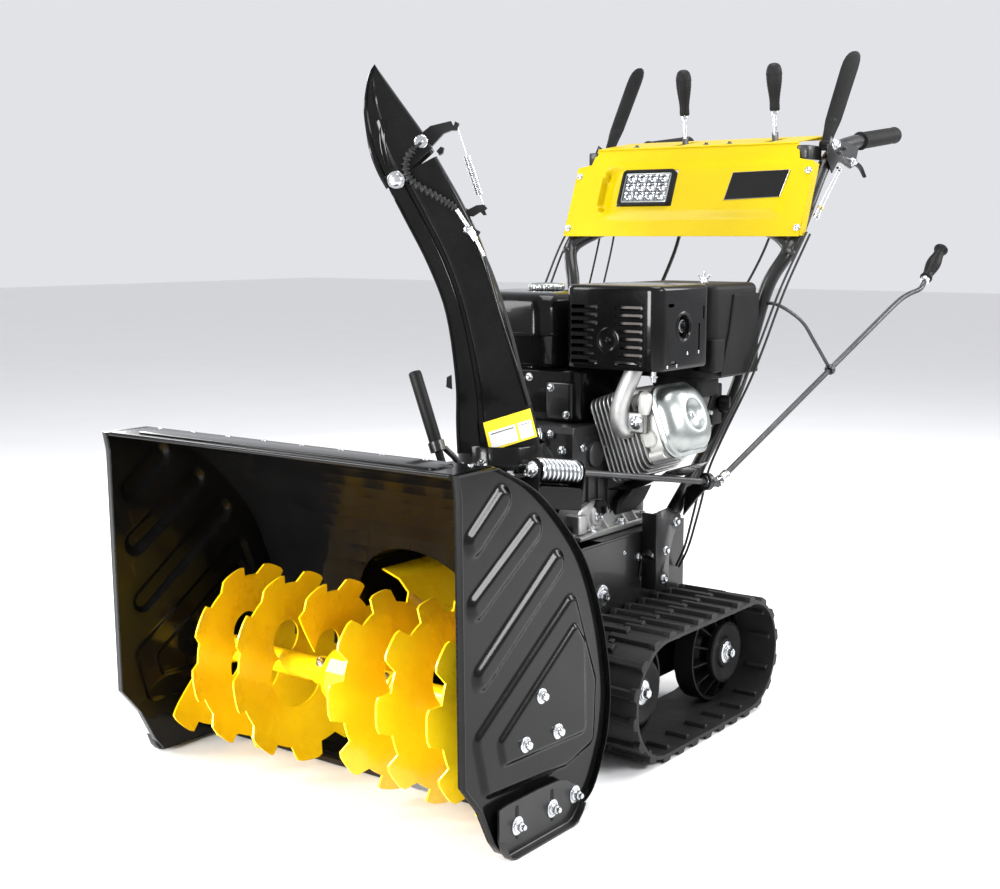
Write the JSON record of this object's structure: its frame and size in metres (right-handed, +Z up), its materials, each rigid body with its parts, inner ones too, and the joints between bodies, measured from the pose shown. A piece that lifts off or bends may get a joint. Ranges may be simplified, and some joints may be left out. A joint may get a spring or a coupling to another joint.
{
  "type": "two stage tracked snowblower",
  "caption": "Walk-behind two stage snow thrower on rubber tracks, with toothed augers, impeller, swivelling chute, engine, lamp panel and sprung hand levers.",
  "frame": {"origin": "centre of the footprint's bounding box, on the ground", "axes": "+Z up, the bucket faces -Y, the operator stands at +Y looking along -Y, +X is the operator's left"},
  "size_m": [0.7676, 1.751, 1.2609],
  "materials": {
    "auger_yellow": "gloss golden yellow paint",
    "black_paint": "gloss black paint",
    "black_plastic": "moulded black plastic",
    "black_rubber": "matt black rubber",
    "bright_steel": "zinc plated steel",
    "cast_aluminium": "raw cast aluminium",
    "chrome": "bright plated steel",
    "dark_steel": "dark machined steel",
    "engine_grey": "grey cast crankcase",
    "frame_black": "satin black paint",
    "lamp": "clear lamp lens over bright reflectors",
    "panel_yellow": "gloss yellow powder coat"
  },
  "bodies": {
    "chassis": {"air_filter_cover": "black_plastic", "auger_housing": "black_paint", "belt_cover": "frame_black", "carburetor": "cast_aluminium", "chute_base": "black_paint", "cleanout_tool": "black_plastic", "control_cable_left": "black_rubber", "control_cable_right": "black_rubber", "control_panel": "panel_yellow", "crank_support": "frame_black", "cylinder_block": "cast_aluminium", "drive_belt": "black_rubber", "engine_crankcase": "engine_grey", "exhaust_elbow": "cast_aluminium", "fan_shroud": "black_plastic", "frame_box": "frame_black", "fuel_tank": "black_paint", "gearbox_case": "auger_yellow", "grip_left": "black_rubber", "grip_right": "black_rubber", "handlebar": "frame_black", "headlight": "lamp", "impeller_drum": "black_paint", "muffler": "dark_steel", "muffler_guard": "black_paint", "rear_axle": "dark_steel", "scraper_bar": "frame_black", "side_plate_left": "black_paint", "side_plate_right": "black_paint", "skid_shoe_left": "frame_black", "skid_shoe_right": "frame_black", "track_belt_left": "black_rubber", "track_belt_right": "black_rubber", "track_frame_left": "frame_black", "track_frame_right": "frame_black", "valve_cover": "chrome", "worm_bracket": "frame_black"},
    "auger": {"auger_left": "auger_yellow", "auger_right": "auger_yellow", "auger_shaft": "dark_steel"},
    "impeller": {"impeller": "auger_yellow", "impeller_shaft": "dark_steel"},
    "crankshaft": {"engine_pulley": "dark_steel"},
    "chute": {"chute": "black_paint", "deflector_spring": "bright_steel"},
    "deflector": {"deflector": "black_paint"},
    "worm": {"worm_rod": "bright_steel"},
    "crank": {"crank_rod": "bright_steel", "crank_grip": "black_plastic"},
    "drive_wheel_left": {"drive_wheel_left": "black_plastic"},
    "drive_wheel_right": {"drive_wheel_right": "black_plastic"},
    "idler_wheel_left": {"idler_wheel_left": "black_plastic"},
    "idler_wheel_right": {"idler_wheel_right": "black_plastic"},
    "clutch_lever_left": {"clutch_lever_left": "black_plastic"},
    "clutch_lever_right": {"clutch_lever_right": "black_plastic"},
    "trigger_left": {"trigger_left": "black_plastic"},
    "trigger_right": {"trigger_right": "black_plastic"},
    "speed_lever": {"speed_lever": "black_plastic"},
    "deflector_lever": {"deflector_lever": "black_plastic"},
    "fuel_cap": {"fuel_cap": "chrome"}
  },
  "joints": [
    {"name": "auger_spin", "type": "hinge", "parent": "chassis", "child": "auger", "pos_m": [0, -0.675, 0.172], "axis": [1, 0, 0], "continuous": true},
    {"name": "impeller_spin", "type": "hinge", "parent": "chassis", "child": "impeller", "pos_m": [0, -0.425, 0.21], "axis": [0, 1, 0], "continuous": true},
    {"name": "engine_shaft_spin", "type": "hinge", "parent": "chassis", "child": "crankshaft", "pos_m": [0, -0.275, 0.43], "axis": [0, 1, 0], "continuous": true},
    {"name": "chute_turn", "type": "hinge", "parent": "chassis", "child": "chute", "pos_m": [0.078, -0.391, 0.492], "axis": [0, 0, 1], "range_deg": [-47, 153]},
    {"name": "worm_spin", "type": "hinge", "parent": "chassis", "child": "worm", "pos_m": [0.181, -0.42, 0.4965], "axis": [0.2413, 0.9581, -0.1543], "range_deg": [-1326, 4294]},
    {"name": "crank_spin", "type": "hinge", "parent": "chassis", "child": "crank", "pos_m": [0.285, -0.007, 0.43], "axis": [0.1034, 0.8979, 0.4278], "range_deg": [-1326, 4294]},
    {"name": "deflector_tilt", "type": "hinge", "parent": "chute", "child": "deflector", "pos_m": [-0.0596, -0.4942, 0.967], "axis": [0.6, -0.8, 0], "range_deg": [0, 50], "deforming": ["deflector_spring"]},
    {"name": "deflector_lever_swing", "type": "hinge", "parent": "chassis", "child": "deflector_lever", "pos_m": [0.158, 0.46, 0.985], "axis": [-1, 0, 0], "range_deg": [0, 25]},
    {"name": "speed_lever_swing", "type": "hinge", "parent": "chassis", "child": "speed_lever", "pos_m": [-0.054, 0.46, 0.985], "axis": [-1, 0, 0], "range_deg": [-8, 20]},
    {"name": "drive_wheel_left_spin", "type": "hinge", "parent": "chassis", "child": "drive_wheel_left", "pos_m": [0.281, -0.002, 0.112], "axis": [1, 0, 0], "continuous": true},
    {"name": "idler_wheel_left_spin", "type": "hinge", "parent": "chassis", "child": "idler_wheel_left", "pos_m": [0.281, -0.303, 0.112], "axis": [1, 0, 0], "continuous": true},
    {"name": "clutch_lever_left_squeeze", "type": "hinge", "parent": "chassis", "child": "clutch_lever_left", "pos_m": [0.262, 0.47, 1.062], "axis": [-1, 0, 0], "range_deg": [0, 38], "stiffness_Nm_per_rad": 1.5},
    {"name": "trigger_left_pull", "type": "hinge", "parent": "chassis", "child": "trigger_left", "pos_m": [0.262, 0.563, 1.03], "axis": [1, 0, 0], "range_deg": [0, 18], "stiffness_Nm_per_rad": 0.8},
    {"name": "drive_wheel_right_spin", "type": "hinge", "parent": "chassis", "child": "drive_wheel_right", "pos_m": [-0.281, -0.002, 0.112], "axis": [1, 0, 0], "continuous": true},
    {"name": "idler_wheel_right_spin", "type": "hinge", "parent": "chassis", "child": "idler_wheel_right", "pos_m": [-0.281, -0.303, 0.112], "axis": [1, 0, 0], "continuous": true},
    {"name": "clutch_lever_right_squeeze", "type": "hinge", "parent": "chassis", "child": "clutch_lever_right", "pos_m": [-0.262, 0.47, 1.062], "axis": [-1, 0, 0], "range_deg": [0, 38], "stiffness_Nm_per_rad": 1.5},
    {"name": "trigger_right_pull", "type": "hinge", "parent": "chassis", "child": "trigger_right", "pos_m": [-0.262, 0.563, 1.03], "axis": [1, 0, 0], "range_deg": [0, 18], "stiffness_Nm_per_rad": 0.8},
    {"name": "fuel_cap_turn", "type": "hinge", "parent": "chassis", "child": "fuel_cap", "pos_m": [-0.044, -0.085, 0.785], "axis": [0, 0, 1], "range_deg": [0, 90]}
  ],
  "couplings": [
    {"joint": "impeller_spin", "follows": "auger_spin", "ratio": 10},
    {"joint": "worm_spin", "follows": "chute_turn", "ratio": 28},
    {"joint": "crank_spin", "follows": "chute_turn", "ratio": 28},
    {"joint": "deflector_lever_swing", "follows": "deflector_tilt", "ratio": 0.5},
    {"joint": "idler_wheel_left_spin", "follows": "drive_wheel_left_spin", "ratio": 1},
    {"joint": "idler_wheel_right_spin", "follows": "drive_wheel_right_spin", "ratio": 1}
  ]
}
